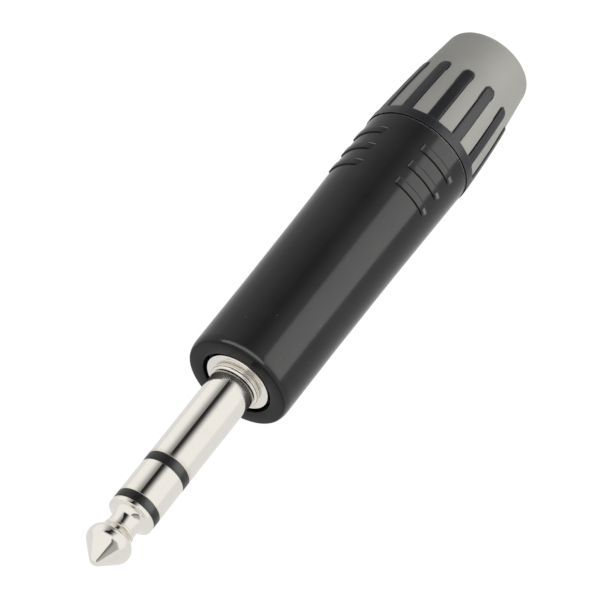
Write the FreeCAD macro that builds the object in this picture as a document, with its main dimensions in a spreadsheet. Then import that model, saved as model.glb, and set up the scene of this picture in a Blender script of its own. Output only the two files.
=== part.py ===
import FreeCAD, Part
import math
import os
import types

import Sketcher
from FreeCAD import Placement, Rotation, Vector

# Stereo jack plug, 6.35 mm, in millimetres.
# The axis is X: +X leaves by the tip, and the plug lies on its side with +Z up.
# The origin is on the axis at the shoulder, where the barrel of the finger meets the housing.

DIMENSIONS = {
    # Finger: the part that goes into a socket
    "finger_radius": 3.175,
    "sleeve_length": 14.16,
    "rear_ring_width": 1.43,
    "ring_length": 5.32,
    "front_ring_width": 1.32,
    # Nested tubes behind the tip, each the outer radius of one layer
    "rod_radius": 0.75,
    "rod_tube_radius": 1.1,
    "ring_tube_radius": 1.5,
    "sleeve_lining_radius": 1.9,
    "shank_radius": 2.6,
    # Ball of the tip, from its point backwards; the ball is a little smaller than the finger
    "nose_radius": 1.0,
    "cone_angle": 41.5,
    "ball_edge_drop": 0.42,
    "ball_top_drop": 0.045,
    "ball_width": 2.02,
    "ball_back_length": 1.08,
    "neck_radius": 1.96,
    "neck_length": 1.32,
    "flare_length": 1.36,
    "flare_depth": 0.29,
    "land_length": 0.58,
    # Shoulder band on the barrel, and the collar behind it, each rise from the finger's radius
    "band_width": 0.76,
    "band_rise": 0.155,
    "boss_length": 0.76,
    "boss_rise": 0.375,
    "boss_chamfer": 0.06,
    "groove_width": 0.33,
    "groove_depth": 0.25,
    "flange_rise": 1.475,
    "flange_thickness": 1.2,
    "flange_inset": 0.13,
    "flange_chamfer": 0.12,
    # Shell
    "shell_length": 44.38,
    "shell_straight_length": 20.13,
    "shell_front_radius": 7.45,
    "shell_flare": 0.45,
    "shell_edge_length": 1.35,
    "shell_edge_drop": 0.4,
    "shell_wall": 1.15,
    "mouth_gap": 0.47,
    "mouth_depth": 1.88,
    "thread_step": 0.55,
    "thread_depth": 8.0,
    # Raised ribs near the rear of the shell
    "rib_height": 0.18,
    "rib_width": 1.1,
    "rib_pitch": 3.2,
    "rib_inset": 2.9,
    "rib_arc": 53.0,
    "rib_phase": 41.1,
    "rib_sets": 4,
    # Insert in the shell
    "insert_clearance": 0.1,
    "nose_clearance": 0.15,
    "carrier_length": 8.0,
    "liner_wall": 0.45,
    # Terminals, each a ring with an arm and a tab, and the washers between them
    "lug_thickness": 0.5,
    "sleeve_lug_rim": 0.7,
    "signal_lug_rim": 1.3,
    "washer_rim": 0.2,
    "washer_thickness": 0.8,
    "rivet_rise": 0.6,
    "rivet_length": 0.6,
    "tab_clearance": 0.65,
    "sleeve_tab_length": 13.5,
    "sleeve_tab_width": 3.2,
    "signal_tab_length": 7.5,
    "signal_tab_width": 2.6,
    "solder_hole_radius": 0.65,
    "solder_hole_inset": 1.6,
    # Chuck
    "end_play": 0.1,
    "chuck_reach": 12.65,
    "chuck_flange_length": 3.0,
    "chuck_wall": 2.1,
    "cable_grip": 0.2,
    "jaw_wall": 0.8,
    "chuck_clearance": 0.1,
    "jaw_slot_width": 1.0,
    "jaw_length": 13.5,
    "jaw_count": 4,
    # Bushing
    "bushing_gap": 0.15,
    "bushing_nose_length": 7.0,
    "thread_clearance": 0.08,
    "bushing_wall": 1.17,
    "cone_start": 0.75,
    "collar_width": 1.5,
    "collar_rise": 0.12,
    "prong_count": 12,
    "prong_phase": -11.2,
    "prong_width": 1.55,
    "prong_length": 10.35,
    "prong_height": 0.2,
    "core_length": 10.85,
    "middle_drop": 0.29,
    "core_end_drop": 0.77,
    # Boot
    "boot_cover": 1.0,
    "boot_length": 7.3,
    "boot_taper": 0.93,
    "boot_end_rounding": 1.1,
    "cable_mouth_chamfer": 0.25,
}

# Share of a rounding that its middle lies inside the sharp corner
ROUND_MIDDLE = 1.0 - math.sqrt(0.5)
RIBS_PER_SET = 3
FULL_TURN = 360.0
HALF_TURN = 180.0
QUARTER_TURN = 90.0


class Size:
    """A number together with the sheet expression that gives it."""

    def __init__(self, value, text):
        self.value = value
        self.text = text

    def __add__(self, other):
        other = as_size(other)
        return Size(self.value + other.value, f"({self.text} + {other.text})")

    def __sub__(self, other):
        other = as_size(other)
        return Size(self.value - other.value, f"({self.text} - {other.text})")

    def __mul__(self, other):
        other = as_size(other)
        return Size(self.value * other.value, f"({self.text} * {other.text})")

    def __truediv__(self, other):
        other = as_size(other)
        return Size(self.value / other.value, f"({self.text} / {other.text})")

    def __neg__(self):
        return Size(-self.value, f"(0 - {self.text})")

    def __rmul__(self, other):
        return self * other


def as_size(number):
    """Return a plain number as a Size, and a Size as it is."""
    if isinstance(number, Size):
        return number
    return Size(float(number), f"{float(number):.6f}")


def tangent(angle):
    """Tangent of an angle in degrees."""
    return Size(math.tan(math.radians(angle.value)), f"tan({angle.text})")


def sine(angle):
    """Sine of an angle in degrees."""
    return Size(math.sin(math.radians(angle.value)), f"sin({angle.text})")


def cosine(angle):
    """Cosine of an angle in degrees."""
    return Size(math.cos(math.radians(angle.value)), f"cos({angle.text})")


ZERO = as_size(0.0)

doc = FreeCAD.newDocument("stereo_jack_plug")
sheet = doc.addObject("Spreadsheet::Sheet", "Sizes")
for row, (alias, value) in enumerate(DIMENSIONS.items(), start=1):
    sheet.set(f"A{row}", alias.replace("_", " "))
    sheet.set(f"B{row}", str(value))
    sheet.setAlias(f"B{row}", alias)
doc.recompute()
d = types.SimpleNamespace(**{alias: Size(value, f"Sizes.{alias}") for alias, value in DIMENSIONS.items()})


# Stations along the axis, from the tip backwards
sleeve_front = d.sleeve_length
rear_ring_front = sleeve_front + d.rear_ring_width
ring_front = rear_ring_front + d.ring_length
tip_seat = ring_front + d.front_ring_width
land_front = tip_seat + d.land_length
neck_rear = land_front + d.flare_length
neck_front = neck_rear + d.neck_length
ball_end = neck_front + d.ball_back_length
cone_end = ball_end + d.ball_width
ball_edge_radius = d.finger_radius - d.ball_edge_drop
nose_touch_radius = d.nose_radius * cosine(d.cone_angle)
nose_touch = cone_end + (ball_edge_radius - nose_touch_radius) / tangent(d.cone_angle)
nose_centre = nose_touch - d.nose_radius * sine(d.cone_angle)
apex = nose_centre + d.nose_radius

band_rear = -d.band_width
boss_rear = band_rear - d.boss_length
flange_front = boss_rear - d.groove_width
flange_rear = flange_front - d.flange_thickness
shell_front = flange_front + d.flange_inset
mouth_rear = shell_front - d.mouth_depth
shell_rear = shell_front - d.shell_length
straight_rear = shell_front - d.shell_straight_length
thread_front = shell_rear + d.thread_depth

carrier_rear = mouth_rear - d.carrier_length
sleeve_lug_rear = carrier_rear - d.lug_thickness
ring_washer_rear = sleeve_lug_rear - d.washer_thickness
ring_lug_rear = ring_washer_rear - d.lug_thickness
tip_washer_rear = ring_lug_rear - d.washer_thickness
tip_lug_rear = tip_washer_rear - d.lug_thickness
rod_rear = tip_lug_rear - d.rivet_length

collar_front = shell_rear - d.bushing_gap
chuck_front = collar_front + d.chuck_reach
chuck_flange_rear = chuck_front - d.chuck_flange_length
liner_rear = chuck_front + d.end_play

nose_front = collar_front + d.bushing_nose_length
collar_rear = collar_front - d.collar_width
core_rear = collar_rear - d.core_length
cone_front = collar_front - d.cone_start
cone_rear = core_rear + d.prong_width
prong_rear = collar_rear - d.prong_length
boot_rear = core_rear - d.boot_length
jaw_rear = cone_rear + d.chuck_clearance

# Radii, from the finger outwards and from the shell inwards
band_radius = d.finger_radius + d.band_rise
boss_radius = d.finger_radius + d.boss_rise
groove_radius = boss_radius - d.groove_depth
flange_radius = d.finger_radius + d.flange_rise
mouth_radius = flange_radius + d.mouth_gap

shell_rear_radius = d.shell_front_radius + d.shell_flare
bore_radius = d.shell_front_radius - d.shell_wall
insert_radius = bore_radius - d.insert_clearance
thread_radius = bore_radius + d.thread_step
bushing_nose_radius = thread_radius - d.thread_clearance
bushing_bore_radius = bushing_nose_radius - d.bushing_wall
chuck_radius = bushing_bore_radius - d.chuck_clearance
chuck_bore_radius = chuck_radius - d.chuck_wall
cable_radius = chuck_bore_radius + d.cable_grip
jaw_end_radius = chuck_bore_radius + d.jaw_wall
cone_end_radius = jaw_end_radius + d.chuck_clearance
collar_radius = shell_rear_radius + d.collar_rise
middle_radius = collar_radius - d.middle_drop
core_end_radius = collar_radius - d.core_end_drop
boot_end_radius = core_end_radius - d.boot_taper

liner_bore_radius = insert_radius - d.liner_wall
tab_offset = liner_bore_radius - d.tab_clearance
sleeve_lug_radius = d.shank_radius + d.sleeve_lug_rim
signal_lug_radius = d.ring_tube_radius + d.signal_lug_rim
washer_radius = signal_lug_radius + d.washer_rim


def plane(body, role):
    """Return one of the body's own origin planes or axes."""
    for feature in body.Origin.OriginFeatures:
        if feature.Role == role:
            return feature
    raise ValueError(role)


def new_body(label):
    """Start one piece."""
    body = doc.addObject("PartDesign::Body", label)
    body.Label = label
    return body


def new_sketch(body, name, role="XY_Plane"):
    """Attach an empty sketch to one of the body's origin planes."""
    sketch = body.newObject("Sketcher::SketchObject", f"{body.Name}_{name}")
    sketch.AttachmentSupport = [(plane(body, role), "")]
    sketch.MapMode = "FlatFace"
    return sketch


def bind(sketch, kind, references, size, name):
    """Add one dimension that follows the sheet, in the direction that its value has now."""
    index = sketch.addConstraint(Sketcher.Constraint(kind, *references, size.value))
    sketch.renameConstraint(index, name)
    sketch.setExpression(f"Constraints.{name}", size.text)


def fix_point(sketch, geometry, end, point, name):
    """Dimension one end of a line or arc, or a point, from the origin."""
    along, across = point
    if along.value == 0.0:
        sketch.addConstraint(Sketcher.Constraint("PointOnObject", geometry, end, -2))
    else:
        bind(sketch, "DistanceX", (-1, 1, geometry, end), along, f"{name}x")
    if across.value == 0.0:
        sketch.addConstraint(Sketcher.Constraint("PointOnObject", geometry, end, -1))
    else:
        bind(sketch, "DistanceY", (-1, 1, geometry, end), across, f"{name}y")


def at(point):
    """Place of a point of sizes, as numbers."""
    return Vector(point[0].value, point[1].value, 0)


def draw_outline(sketch, outline, tag="p"):
    """Draw a closed outline: corners (x, y), each joined to the next by a line.

    A corner (x, y, (mx, my)) is joined to the next one by an arc through (mx, my).
    """
    ends = []
    count = len(outline)
    for number, corner in enumerate(outline):
        here = (as_size(corner[0]), as_size(corner[1]))
        following = outline[(number + 1) % count]
        there = (as_size(following[0]), as_size(following[1]))
        if len(corner) == 2:
            edge = sketch.addGeometry(Part.LineSegment(at(here), at(there)), False)
            ends.append((edge, 1, 2))
        else:
            middle = (as_size(corner[2][0]), as_size(corner[2][1]))
            edge = sketch.addGeometry(Part.Arc(at(here), at(middle), at(there)), False)
            turn = (at(middle) - at(here)).cross(at(there) - at(here)).z
            ends.append((edge, 1, 2) if turn > 0 else (edge, 2, 1))
            via = sketch.addGeometry(Part.Point(at(middle)), True)
            fix_point(sketch, via, 1, middle, f"{tag}{number}m")
            sketch.addConstraint(Sketcher.Constraint("PointOnObject", via, 1, edge))
        fix_point(sketch, edge, ends[-1][1], here, f"{tag}{number}")
    for number, (edge, start, finish) in enumerate(ends):
        next_edge, next_start, next_finish = ends[(number + 1) % count]
        sketch.addConstraint(Sketcher.Constraint("Coincident", edge, finish, next_edge, next_start))


def turn_profile(body, name, outline):
    """Turn an outline of (x, radius) corners all the way round the axis."""
    sketch = new_sketch(body, name)
    draw_outline(sketch, outline)
    turned = body.newObject("PartDesign::Revolution", f"{body.Name}_{name}_turned")
    turned.Profile = sketch
    turned.ReferenceAxis = (plane(body, "X_Axis"), [""])
    turned.Angle = FULL_TURN
    body.Tip = turned
    return turned


def turned_piece(label, outline):
    """Make a piece that is one turned solid."""
    body = new_body(label)
    turn_profile(body, "section", outline)
    return body


def repeat(body, feature, count):
    """Repeat a feature round the axis."""
    pattern = body.newObject("PartDesign::PolarPattern", f"{feature.Name}_repeated")
    pattern.Originals = [feature]
    pattern.Axis = (plane(body, "X_Axis"), [""])
    pattern.Angle = FULL_TURN
    pattern.setExpression("Occurrences", count.text)
    body.Tip = pattern
    return pattern


def turn_about_axis(body, angle):
    """Set the piece at an angle about the plug's axis."""
    body.Placement = Placement(Vector(0, 0, 0), Rotation(Vector(1, 0, 0), angle.value))
    body.setExpression("Placement.Rotation.Angle", angle.text)


def tube(front, rear, inner, outer):
    """Outline of a plain tube or ring."""
    return [(front, inner), (front, outer), (rear, outer), (rear, inner)]


def tip_contact():
    """Ball tip, neck and land, in one with the centre rod and its riveted end."""
    half_angle = (as_size(QUARTER_TURN) - d.cone_angle) / 2
    nose_middle = (nose_centre + d.nose_radius * cosine(half_angle), d.nose_radius * sine(half_angle))
    ball_top = ((cone_end + ball_end) / 2, d.finger_radius - d.ball_top_drop)
    flare_middle = ((neck_rear + land_front) / 2, (d.neck_radius + d.finger_radius) / 2 - d.flare_depth)
    rivet_radius = d.rod_radius + d.rivet_rise
    return turned_piece("tip_contact", [
        (apex, ZERO, nose_middle),
        (nose_touch, nose_touch_radius),
        (cone_end, ball_edge_radius, ball_top),
        (ball_end, ball_edge_radius),
        (neck_front, d.neck_radius),
        (neck_rear, d.neck_radius, flare_middle),
        (land_front, d.finger_radius),
        (tip_seat, d.finger_radius),
        (tip_seat, d.rod_radius),
        (tip_lug_rear, d.rod_radius),
        (tip_lug_rear, rivet_radius),
        (rod_rear, (rivet_radius + d.rod_radius) / 2),
        (rod_rear, ZERO),
    ])


def ring_with_tube(label, front, rear, tube_rear, bore, tube_radius):
    """Ring of the finger's size, in one with the thin tube that runs back through the finger."""
    return turned_piece(label, [
        (front, bore),
        (front, d.finger_radius),
        (rear, d.finger_radius),
        (rear, tube_radius),
        (tube_rear, tube_radius),
        (tube_rear, bore),
    ])


def sleeve_contact():
    """Long barrel with the shoulder band, in one with its shank."""
    return turned_piece("sleeve_contact", [
        (sleeve_front, d.sleeve_lining_radius),
        (sleeve_front, d.finger_radius),
        (ZERO, d.finger_radius),
        (ZERO, band_radius),
        (band_rear, band_radius),
        (band_rear, d.shank_radius),
        (sleeve_lug_rear, d.shank_radius),
        (sleeve_lug_rear, d.sleeve_lining_radius),
    ])


def front_collar():
    """Collar pressed on the shank: boss, groove and flange."""
    return turned_piece("front_collar", [
        (band_rear, d.shank_radius),
        (band_rear, boss_radius - d.boss_chamfer),
        (band_rear - d.boss_chamfer, boss_radius),
        (boss_rear, boss_radius),
        (boss_rear, groove_radius),
        (flange_front, groove_radius),
        (flange_front, flange_radius - d.flange_chamfer),
        (flange_front - d.flange_chamfer, flange_radius),
        (flange_rear, flange_radius),
        (flange_rear, d.shank_radius),
    ])


def carrier():
    """Moulded insulator that fills the front of the shell's bore round the shank."""
    nose_radius = mouth_radius - d.nose_clearance
    return turned_piece("carrier", [
        (flange_rear, d.shank_radius),
        (flange_rear, nose_radius),
        (mouth_rear, nose_radius),
        (mouth_rear, insert_radius),
        (carrier_rear, insert_radius),
        (carrier_rear, d.shank_radius),
    ])


def terminal(label, front, bore, lug_radius, tab_length, tab_width, angle):
    """Ring with an arm that is bent back into a tab with a solder hole."""
    rear = front - d.lug_thickness
    tab_rear = front - tab_length
    body = new_body(label)
    turn_profile(body, "ring", tube(front, rear, bore, lug_radius))

    strip = new_sketch(body, "strip", "XZ_Plane")
    arm_start = (bore + lug_radius) / 2
    draw_outline(strip, [
        (front, arm_start),
        (front, tab_offset),
        (tab_rear, tab_offset),
        (tab_rear, tab_offset - d.lug_thickness),
        (rear, tab_offset - d.lug_thickness),
        (rear, arm_start),
    ])
    arm = body.newObject("PartDesign::Pad", f"{label}_arm")
    arm.Profile = strip
    arm.SideType = "Symmetric"
    arm.setExpression("Length", tab_width.text)
    body.Tip = arm

    hole_sketch = new_sketch(body, "hole")
    hole_circle = Part.Circle(Vector(tab_rear.value + d.solder_hole_inset.value, 0, 0), Vector(0, 0, 1),
                              d.solder_hole_radius.value)
    hole = hole_sketch.addGeometry(hole_circle, False)
    bind(hole_sketch, "Radius", (hole,), d.solder_hole_radius, "hole_radius")
    fix_point(hole_sketch, hole, 3, (tab_rear + d.solder_hole_inset, ZERO), "hole")
    drilled = body.newObject("PartDesign::Pocket", f"{label}_drilled")
    drilled.Profile = hole_sketch
    drilled.Reversed = True
    drilled.setExpression("Length", (tab_offset + d.lug_thickness).text)
    body.Tip = drilled
    turn_about_axis(body, as_size(angle))
    return body


def shell_radius(station):
    """Outer radius of the flared part of the shell at a station."""
    slope = d.shell_flare / (straight_rear - shell_rear)
    return d.shell_front_radius + (straight_rear - station) * slope


def shell():
    """Housing: plain front face, stepped bore, flared outside and raised ribs."""
    body = new_body("shell")
    edge_middle = (shell_front - ROUND_MIDDLE * d.shell_edge_length,
                   d.shell_front_radius - ROUND_MIDDLE * d.shell_edge_drop)
    turn_profile(body, "section", [
        (shell_front, mouth_radius),
        (shell_front, d.shell_front_radius - d.shell_edge_drop, edge_middle),
        (shell_front - d.shell_edge_length, d.shell_front_radius),
        (straight_rear, d.shell_front_radius),
        (shell_rear, shell_rear_radius),
        (shell_rear, thread_radius),
        (thread_front, thread_radius),
        (thread_front, bore_radius),
        (mouth_rear, bore_radius),
        (mouth_rear, mouth_radius),
    ])

    ribs_sketch = new_sketch(body, "ribs")
    for number in range(RIBS_PER_SET):
        rib_rear = shell_rear + d.rib_inset - d.rib_width / 2 + d.rib_pitch * number
        rib_front = rib_rear + d.rib_width
        root = (bore_radius + d.shell_front_radius) / 2
        draw_outline(ribs_sketch, [
            (rib_front, root),
            (rib_front, shell_radius(rib_front) + d.rib_height),
            (rib_rear, shell_radius(rib_rear) + d.rib_height),
            (rib_rear, root),
        ], tag=f"rib{number}_")
    ribs = body.newObject("PartDesign::Revolution", "shell_ribs")
    ribs.Profile = ribs_sketch
    ribs.ReferenceAxis = (plane(body, "X_Axis"), [""])
    ribs.Midplane = True
    ribs.setExpression("Angle", d.rib_arc.text)
    body.Tip = ribs
    repeat(body, ribs, d.rib_sets)
    turn_about_axis(body, d.rib_phase)
    return body


def liner():
    """Insulating sleeve between the terminals and the shell."""
    return turned_piece("liner", tube(carrier_rear, liner_rear, liner_bore_radius, insert_radius))


def chuck():
    """Cable clamp: guide flange, body and slotted, tapered jaws."""
    body = new_body("chuck")
    turn_profile(body, "section", [
        (chuck_front, chuck_bore_radius),
        (chuck_front, insert_radius),
        (chuck_flange_rear, insert_radius),
        (chuck_flange_rear, chuck_radius),
        (cone_front, chuck_radius),
        (jaw_rear, jaw_end_radius),
        (jaw_rear, chuck_bore_radius),
    ])
    slot_sketch = new_sketch(body, "slot")
    slot_front = jaw_rear + d.jaw_length
    slot_rear = jaw_rear - d.jaw_slot_width
    half = d.jaw_slot_width / 2
    draw_outline(slot_sketch, [
        (slot_front, -half),
        (slot_front, half),
        (slot_rear, half),
        (slot_rear, -half),
    ])
    slot = body.newObject("PartDesign::Pocket", "chuck_slot")
    slot.Profile = slot_sketch
    slot.Reversed = True
    slot.setExpression("Length", bore_radius.text)
    body.Tip = slot
    repeat(body, slot, d.jaw_count)
    return body


def back_outline(inset, front, rear):
    """Corners of the bushing's rounded outside behind the collar, moved in by an inset."""
    middle = (front + rear) / 2
    return [
        (front, collar_radius - inset, (middle, middle_radius - inset)),
        (rear, core_end_radius - inset),
    ]


def prong_sketch(body):
    """Prong seen from above: a strip from the collar with a round end."""
    sketch = new_sketch(body, "prong")
    half = d.prong_width / 2
    start = collar_front - d.collar_width / 2
    round_centre = prong_rear + half
    draw_outline(sketch, [
        (start, -half),
        (start, half),
        (round_centre, half, (prong_rear, ZERO)),
        (round_centre, -half),
    ])
    return sketch


def bushing():
    """Back nut: threaded nose, collar, tapered bore, core and prongs."""
    body = new_body("bushing")
    core = back_outline(d.boot_cover, collar_rear, core_rear)
    turn_profile(body, "section", [
        (nose_front, bushing_bore_radius),
        (nose_front, bushing_nose_radius),
        (collar_front, bushing_nose_radius),
        (collar_front, collar_radius),
        (collar_rear, collar_radius),
        core[0],
        core[1],
        (core_rear, cone_end_radius),
        (cone_rear, cone_end_radius),
        (cone_front, bushing_bore_radius),
    ])

    strip = prong_sketch(body)
    prong_root = (bushing_bore_radius + core_end_radius - d.boot_cover) / 2
    blank_radius = collar_radius + d.boot_cover
    strip.setExpression("AttachmentOffset.Base.z", prong_root.text)
    prong = body.newObject("PartDesign::Pad", "bushing_prong")
    prong.Profile = strip
    prong.setExpression("Length", (blank_radius - prong_root).text)
    body.Tip = prong
    repeat(body, prong, d.prong_count)

    # The prongs are turned down to the collar and the rounded outside
    trim_sketch = new_sketch(body, "trim")
    trim_rear = core_rear - d.prong_width
    trim_radius = blank_radius + d.boot_cover
    outside = back_outline(ZERO, collar_rear, core_rear)
    draw_outline(trim_sketch, [
        (collar_front, collar_radius),
        outside[0],
        outside[1],
        (trim_rear, core_end_radius),
        (trim_rear, trim_radius),
        (collar_front, trim_radius),
    ])
    trim = body.newObject("PartDesign::Groove", "bushing_trim")
    trim.Profile = trim_sketch
    trim.ReferenceAxis = (plane(body, "X_Axis"), [""])
    trim.Angle = FULL_TURN
    body.Tip = trim
    turn_about_axis(body, d.prong_phase)
    return body


def boot():
    """Soft overmould on the bushing's core, with a window for each prong and the cable hole."""
    body = new_body("boot")
    cover = back_outline(d.prong_height, collar_rear, core_rear)
    seat = back_outline(d.boot_cover, collar_rear, core_rear)
    end_x = boot_rear + d.boot_end_rounding
    end_middle = (boot_rear + ROUND_MIDDLE * d.boot_end_rounding,
                  boot_end_radius - ROUND_MIDDLE * d.boot_end_rounding)
    turn_profile(body, "section", [
        cover[0],
        cover[1],
        (end_x, boot_end_radius, end_middle),
        (boot_rear, boot_end_radius - d.boot_end_rounding),
        (boot_rear, cable_radius + d.cable_mouth_chamfer),
        (boot_rear + d.cable_mouth_chamfer, cable_radius),
        (core_rear, cable_radius),
        (core_rear, core_end_radius - d.boot_cover, seat[0][2]),
        (collar_rear, collar_radius - d.boot_cover),
    ])
    window_sketch = prong_sketch(body)
    window = body.newObject("PartDesign::Pocket", "boot_window")
    window.Profile = window_sketch
    window.Reversed = True
    window.setExpression("Length", (collar_radius + d.boot_cover).text)
    body.Tip = window
    repeat(body, window, d.prong_count)
    turn_about_axis(body, d.prong_phase)
    return body


pieces = [
    tip_contact(),
    ring_with_tube("tip_insulator", tip_seat, ring_front, tip_washer_rear, d.rod_radius, d.rod_tube_radius),
    ring_with_tube("ring_contact", ring_front, rear_ring_front, ring_lug_rear, d.rod_tube_radius,
                   d.ring_tube_radius),
    ring_with_tube("ring_insulator", rear_ring_front, sleeve_front, ring_washer_rear, d.ring_tube_radius,
                   d.sleeve_lining_radius),
    sleeve_contact(),
    front_collar(),
    carrier(),
    terminal("sleeve_terminal", carrier_rear, d.shank_radius, sleeve_lug_radius, d.sleeve_tab_length,
             d.sleeve_tab_width, HALF_TURN),
    turned_piece("ring_washer", tube(sleeve_lug_rear, ring_washer_rear, d.sleeve_lining_radius,
                                     washer_radius)),
    terminal("ring_terminal", ring_washer_rear, d.ring_tube_radius, signal_lug_radius,
             d.signal_tab_length, d.signal_tab_width, -QUARTER_TURN),
    turned_piece("tip_washer", tube(ring_lug_rear, tip_washer_rear, d.rod_tube_radius, washer_radius)),
    terminal("tip_terminal", tip_washer_rear, d.rod_radius, signal_lug_radius, d.signal_tab_length,
             d.signal_tab_width, QUARTER_TURN),
    shell(),
    liner(),
    chuck(),
    bushing(),
    boot(),
]
doc.recompute()

for item in doc.Objects:
    if "Invalid" in item.State or "Error" in item.State:
        raise RuntimeError(f"{item.Label} failed: {item.State}")

os.makedirs("parts", exist_ok=True)
for piece in pieces:
    if piece.Shape.isNull() or not piece.Shape.isValid():
        raise RuntimeError(f"{piece.Label} has no valid shape")
    if len(piece.Shape.Solids) != 1:
        raise RuntimeError(f"{piece.Label} has {len(piece.Shape.Solids)} solids")
    piece.Shape.exportStep(os.path.join("parts", piece.Label + ".step"))
    box = piece.Shape.BoundBox
    print(f"{piece.Label}: {piece.Shape.Volume:.1f} mm3, x {box.XMin:.2f} to {box.XMax:.2f}, "
          f"y {box.YMin:.2f} to {box.YMax:.2f}, z {box.ZMin:.2f} to {box.ZMax:.2f}")
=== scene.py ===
"""Looks of a 6.35 mm stereo jack plug that lies on its side on a pale floor.

Every mesh is shaped in millimetres, with the plug's axis on X and the tip at +X, and is brought to
metres as its last step.
"""

import logging
import math
from collections.abc import Callable, Sequence
from dataclasses import dataclass, field
from enum import Enum

import bmesh
import bpy
from mathutils import Matrix, Vector

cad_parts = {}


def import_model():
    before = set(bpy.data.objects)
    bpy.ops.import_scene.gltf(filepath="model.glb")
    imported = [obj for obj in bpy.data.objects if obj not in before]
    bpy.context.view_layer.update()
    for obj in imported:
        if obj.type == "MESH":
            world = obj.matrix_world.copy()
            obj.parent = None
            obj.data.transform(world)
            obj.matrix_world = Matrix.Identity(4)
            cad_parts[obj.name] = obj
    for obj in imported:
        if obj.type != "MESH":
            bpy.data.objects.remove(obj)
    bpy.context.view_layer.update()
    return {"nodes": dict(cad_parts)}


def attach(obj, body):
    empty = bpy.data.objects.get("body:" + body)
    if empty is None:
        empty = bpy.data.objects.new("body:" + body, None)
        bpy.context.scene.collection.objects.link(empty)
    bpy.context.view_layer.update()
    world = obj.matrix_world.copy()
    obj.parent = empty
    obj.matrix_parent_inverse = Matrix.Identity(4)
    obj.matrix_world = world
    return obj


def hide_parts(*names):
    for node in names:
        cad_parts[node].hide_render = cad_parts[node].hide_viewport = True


log = logging.getLogger("jack_plug")

Triple = tuple[float, float, float]
Colour = Triple
Mesh = bmesh.types.BMesh
Material = bpy.types.Material
Node = bpy.types.Node
Socket = bpy.types.NodeSocket

METRES = 0.001
FULL_TURN = 2.0 * math.pi
AROUND = 192
FINE_AROUND = 480
MERGE = 1.0e-4
ORIGIN = (0.0, 0.0, 0.0)
AXIS = (1.0, 0.0, 0.0)
WHITE = (1.0, 1.0, 1.0, 1.0)
# Vertex attribute of the housing: the strength of a painted highlight where it is positive, -1
# where it stays dull
PAINTED_HIGHLIGHT_AND_DULL = "painted_highlight_and_dull"


class Body(Enum):
    """Moving bodies of the plug."""

    PLUG = "plug"
    CHUCK = "chuck"
    BUSHING = "bushing"


class Slot(Enum):
    """Material slots of the record."""

    NICKEL = "nickel"
    RING_PLASTIC = "ring_plastic"
    CARRIER_PLASTIC = "carrier_plastic"
    TERMINAL_METAL = "terminal_metal"
    WASHER_BOARD = "washer_board"
    SHELL_BLACK = "shell_black"
    LINER_PLASTIC = "liner_plastic"
    CHUCK_PLASTIC = "chuck_plastic"
    BUSHING_PLASTIC = "bushing_plastic"
    BOOT_RUBBER = "boot_rubber"


# ---- Mesh making ----


@dataclass(frozen=True)
class Corner:
    """One corner of a turned section.

    Attributes:
        along: Place on the axis in mm, positive towards the tip.
        radius: Distance from the axis in mm.
        setback: How far before the corner its rounding starts, in mm; 0 leaves it sharp.
        facets: Facets of the rounding.
    """

    along: float
    radius: float
    setback: float = 0.0
    facets: int = 4


def bevel(
    mesh: Mesh, geom: Sequence[object], offset: float, facets: int, affect: str = "VERTICES"
) -> None:
    """Round vertices of a flat face, or edges.

    Args:
        mesh: The mesh they are in.
        geom: The vertices or edges.
        offset: How far from them the rounding starts.
        facets: Facets of the rounding.
        affect: VERTICES or EDGES.
    """
    bmesh.ops.bevel(mesh, geom=geom, offset=offset, offset_type="OFFSET", segments=facets,
                    profile=0.5, affect=affect, material=-1)


def vertices(geometry: Sequence[object]) -> list[bmesh.types.BMVert]:
    """Return the vertices among an operator's results."""
    return [item for item in geometry if isinstance(item, bmesh.types.BMVert)]


def section_edges(corners: Sequence[Corner]) -> Mesh:
    """Draw a closed section as loose edges in the XZ plane.

    The radius of a corner is its height above the axis.

    Args:
        corners: The section's corners in order.

    Returns:
        A bmesh with the rounded section; edges that lie on the axis are left out.
    """
    mesh = bmesh.new()
    ends = [mesh.verts.new((corner.along, 0.0, corner.radius)) for corner in corners]
    mesh.faces.new(ends)
    for corner, end in zip(corners, ends):
        if corner.setback > 0.0:
            bevel(mesh, [end], corner.setback, corner.facets)
    bmesh.ops.delete(mesh, geom=mesh.faces[:], context="FACES_ONLY")
    on_axis = [edge for edge in mesh.edges if all(abs(end.co.z) < MERGE for end in edge.verts)]
    bmesh.ops.delete(mesh, geom=on_axis, context="EDGES")
    return mesh


def turned(corners: Sequence[Corner], around: int = AROUND) -> Mesh:
    """Turn a section all the way round the axis.

    Args:
        corners: The section's corners in order.
        around: Steps round the axis.

    Returns:
        A closed bmesh with its faces outwards.
    """
    mesh = section_edges(corners)
    bmesh.ops.spin(mesh, geom=mesh.verts[:] + mesh.edges[:], cent=ORIGIN, axis=AXIS,
                   angle=FULL_TURN, steps=around, use_merge=True)
    bmesh.ops.remove_doubles(mesh, verts=mesh.verts[:], dist=MERGE)
    bmesh.ops.recalc_face_normals(mesh, faces=mesh.faces[:])
    return mesh


def join_meshes(parts: Sequence[Mesh]) -> Mesh:
    """Put several bmeshes into one and free them.

    Args:
        parts: The bmeshes to put together.

    Returns:
        One bmesh with all their faces.
    """
    together = bmesh.new()
    for part in parts:
        carrier = bpy.data.meshes.new("joining")
        part.to_mesh(carrier)
        part.free()
        together.from_mesh(carrier)
        bpy.data.meshes.remove(carrier)
    return together


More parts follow.
